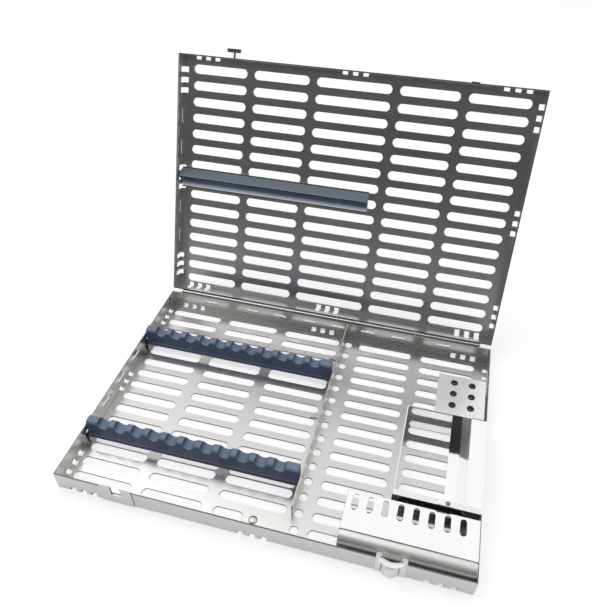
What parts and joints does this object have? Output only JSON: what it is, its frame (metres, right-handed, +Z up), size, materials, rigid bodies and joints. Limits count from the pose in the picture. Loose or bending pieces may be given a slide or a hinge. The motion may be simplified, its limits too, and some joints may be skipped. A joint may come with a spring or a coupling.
{
  "type": "instrument cassette",
  "caption": "Slotted steel tray with a hinged slotted lid, soft rails that hold instruments apart, a push latch, a bur stand and accessory boxes.",
  "frame": {"origin": "middle of the tray's underside, in the plane that the tray stands on", "axes": "+X to the right along the front wall, +Y from the latch side to the hinge side, +Z up"},
  "size_m": [0.28, 0.2867, 0.2084],
  "materials": {
    "tray_steel": "satin stainless sheet",
    "lid_steel": "satin stainless sheet",
    "polished_steel": "mirror-polished stainless steel",
    "navy_silicone": "matt dark blue silicone"
  },
  "bodies": {
    "tray": {"base_floor": "tray_steel", "base_front_wall": "tray_steel", "base_rear_wall": "tray_steel", "base_left_wall": "tray_steel", "base_right_wall": "tray_steel", "base_hinges": "tray_steel", "hinge_pins": "tray_steel", "lid_stops": "tray_steel", "front_rail": "navy_silicone", "rear_rail": "navy_silicone", "front_rail_channel": "polished_steel", "rear_rail_channel": "polished_steel", "divider": "tray_steel", "bur_plate": "tray_steel", "bur_grommets": "navy_silicone", "accessory_left_wall": "polished_steel", "accessory_rear_wall": "polished_steel", "accessory_front_wall": "polished_steel", "accessory_right_shelf": "polished_steel", "catch_rivet": "polished_steel", "front_box_left_side": "polished_steel", "front_box_right_side": "polished_steel", "cover_pivots": "polished_steel", "latch_bracket": "polished_steel", "latch_spring": "polished_steel", "receiver_bracket": "polished_steel", "floor_stud": "tray_steel"},
    "lid": {"lid_panel": "lid_steel", "lid_front_flange": "lid_steel", "lid_rear_flange": "lid_steel", "lid_left_flange": "lid_steel", "lid_right_flange": "lid_steel", "lid_hinges": "lid_steel", "lid_bar": "navy_silicone", "lid_bar_channel": "polished_steel", "locating_stud": "polished_steel", "lid_catch_tab": "polished_steel"},
    "box_cover": {"front_box_cover": "polished_steel"},
    "button": {"latch_button": "polished_steel"},
    "catch": {"catch_tab": "polished_steel"}
  },
  "joints": [
    {"name": "lid_hinge", "type": "hinge", "parent": "tray", "child": "lid", "pos_m": [0, 0.1006, 0.0152], "axis": [1, 0, 0], "range_deg": [0, 110.5]},
    {"name": "box_cover_hinge", "type": "hinge", "parent": "tray", "child": "box_cover", "pos_m": [0.09665, -0.0895, 0.0122], "axis": [1, 0, 0], "range_deg": [0, 16]},
    {"name": "latch_press", "type": "slide", "parent": "tray", "child": "button", "axis": [0, 1, 0], "range_m": [0, 0.0015], "stiffness_N_per_m": 400},
    {"name": "catch_turn", "type": "hinge", "parent": "tray", "child": "catch", "pos_m": [0.1174, -0.0575, 0.02445], "axis": [0, 0, 1], "range_deg": [-90, 0]}
  ]
}
